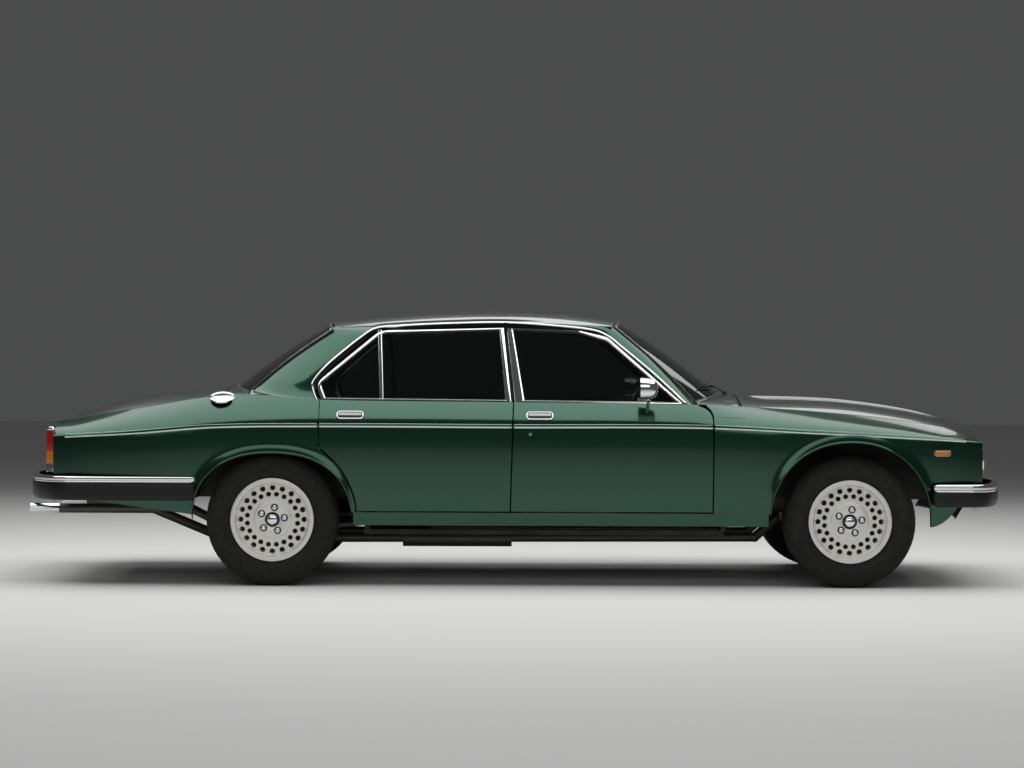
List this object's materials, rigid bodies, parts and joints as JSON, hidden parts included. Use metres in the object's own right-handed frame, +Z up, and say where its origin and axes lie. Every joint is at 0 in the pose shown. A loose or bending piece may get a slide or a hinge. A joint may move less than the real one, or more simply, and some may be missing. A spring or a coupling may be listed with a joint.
{
  "type": "luxury sedan",
  "caption": "Low four-door luxury sedan with hinged doors, bonnet and boot lid, steered front wheels and turning road wheels.",
  "frame": {"origin": "on the ground under the middle of the car", "axes": "+X forward, +Y to the car's left, +Z up"},
  "size_m": [4.959, 1.962, 1.378],
  "materials": {
    "paint": "dark green metallic gloss",
    "window_glass": "clear with a slight tint",
    "bright_trim": "polished",
    "tyre": "matte",
    "alloy": "silver lacquer",
    "black_trim": "matte",
    "underseal": "satin dark",
    "iron": "dull",
    "steel": "brushed",
    "hide": "semi matt",
    "walnut": "lacquered",
    "clear_lens": "clear",
    "red_lens": "gloss",
    "amber_lens": "gloss"
  },
  "bodies": {
    "body": {"floor_pan": "underseal", "sills": "paint", "front_wings": "paint", "rear_wings": "paint", "side_frames": "paint", "roof": "paint", "nose_panel": "paint", "tail_panel": "paint", "bulkheads": "underseal", "inner_wings": "underseal", "windscreen": "window_glass", "rear_window": "window_glass", "grille": "bright_trim", "headlamps": "clear_lens", "indicator_lamps": "amber_lens", "tail_lamps": "red_lens", "front_bumper": "black_trim", "rear_bumper": "black_trim", "bumper_blades": "bright_trim", "dashboard": "walnut", "front_seats": "hide", "rear_seat": "hide", "engine": "iron", "front_suspension": "iron", "rear_axle": "iron", "exhaust": "steel"},
    "bonnet": {"bonnet": "paint"},
    "boot_lid": {"boot_lid": "paint"},
    "door_front_right": {"door_front_right": "paint", "door_frame_front_right": "bright_trim", "door_glass_front_right": "window_glass"},
    "door_front_left": {"door_front_left": "paint", "door_frame_front_left": "bright_trim", "door_glass_front_left": "window_glass"},
    "door_rear_right": {"door_rear_right": "paint", "door_frame_rear_right": "bright_trim", "door_glass_rear_right": "window_glass"},
    "door_rear_left": {"door_rear_left": "paint", "door_frame_rear_left": "bright_trim", "door_glass_rear_left": "window_glass"},
    "knuckle_right": {"knuckle_right": "iron"},
    "knuckle_left": {"knuckle_left": "iron"},
    "wheel_front_right": {"wheel_front_right": "alloy", "tyre_front_right": "tyre"},
    "wheel_front_left": {"wheel_front_left": "alloy", "tyre_front_left": "tyre"},
    "wheel_rear_right": {"wheel_rear_right": "alloy", "tyre_rear_right": "tyre"},
    "wheel_rear_left": {"wheel_rear_left": "alloy", "tyre_rear_left": "tyre"},
    "steering_wheel": {"steering_wheel": "black_trim"}
  },
  "joints": [
    {"name": "bonnet_hinge", "type": "hinge", "parent": "body", "child": "bonnet", "pos_m": [2.376, 0, 0.765], "axis": [0, 1, 0], "range_deg": [0, 60]},
    {"name": "boot_hinge", "type": "hinge", "parent": "body", "child": "boot_lid", "pos_m": [-1.4675, 0, 0.9905], "axis": [0, 1, 0], "range_deg": [0, 75]},
    {"name": "door_front_right_hinge", "type": "hinge", "parent": "body", "child": "door_front_right", "pos_m": [0.894, -0.856, 0.65], "axis": [0, 0, 1], "range_deg": [0, 65]},
    {"name": "door_front_left_hinge", "type": "hinge", "parent": "body", "child": "door_front_left", "pos_m": [0.894, 0.856, 0.65], "axis": [0, 0, -1], "range_deg": [0, 65]},
    {"name": "door_rear_right_hinge", "type": "hinge", "parent": "body", "child": "door_rear_right", "pos_m": [-0.102, -0.856, 0.65], "axis": [0, 0, 1], "range_deg": [0, 65]},
    {"name": "door_rear_left_hinge", "type": "hinge", "parent": "body", "child": "door_rear_left", "pos_m": [-0.102, 0.856, 0.65], "axis": [0, 0, -1], "range_deg": [0, 65]},
    {"name": "steer_left", "type": "hinge", "parent": "body", "child": "knuckle_left", "pos_m": [1.6595, 0.655, 0.328], "axis": [0, 0, 1], "range_deg": [-33, 33]},
    {"name": "steer_right", "type": "hinge", "parent": "body", "child": "knuckle_right", "pos_m": [1.6595, -0.655, 0.328], "axis": [0, 0, 1], "range_deg": [-33, 33]},
    {"name": "wheel_front_right_spin", "type": "hinge", "parent": "knuckle_right", "child": "wheel_front_right", "pos_m": [1.6595, -0.74, 0.328], "axis": [0, 1, 0], "continuous": true},
    {"name": "wheel_front_left_spin", "type": "hinge", "parent": "knuckle_left", "child": "wheel_front_left", "pos_m": [1.6595, 0.74, 0.328], "axis": [0, 1, 0], "continuous": true},
    {"name": "wheel_rear_right_spin", "type": "hinge", "parent": "body", "child": "wheel_rear_right", "pos_m": [-1.2055, -0.7475, 0.328], "axis": [0, 1, 0], "continuous": true},
    {"name": "wheel_rear_left_spin", "type": "hinge", "parent": "body", "child": "wheel_rear_left", "pos_m": [-1.2055, 0.7475, 0.328], "axis": [0, 1, 0], "continuous": true},
    {"name": "steering_wheel_turn", "type": "hinge", "parent": "body", "child": "steering_wheel", "pos_m": [0.5695, -0.37, 0.8], "axis": [-0.9135, 0, 0.4067], "range_deg": [-530, 530]}
  ],
  "couplings": [
    {"joint": "steer_right", "follows": "steer_left", "ratio": 1},
    {"joint": "steering_wheel_turn", "follows": "steer_left", "ratio": 16}
  ]
}
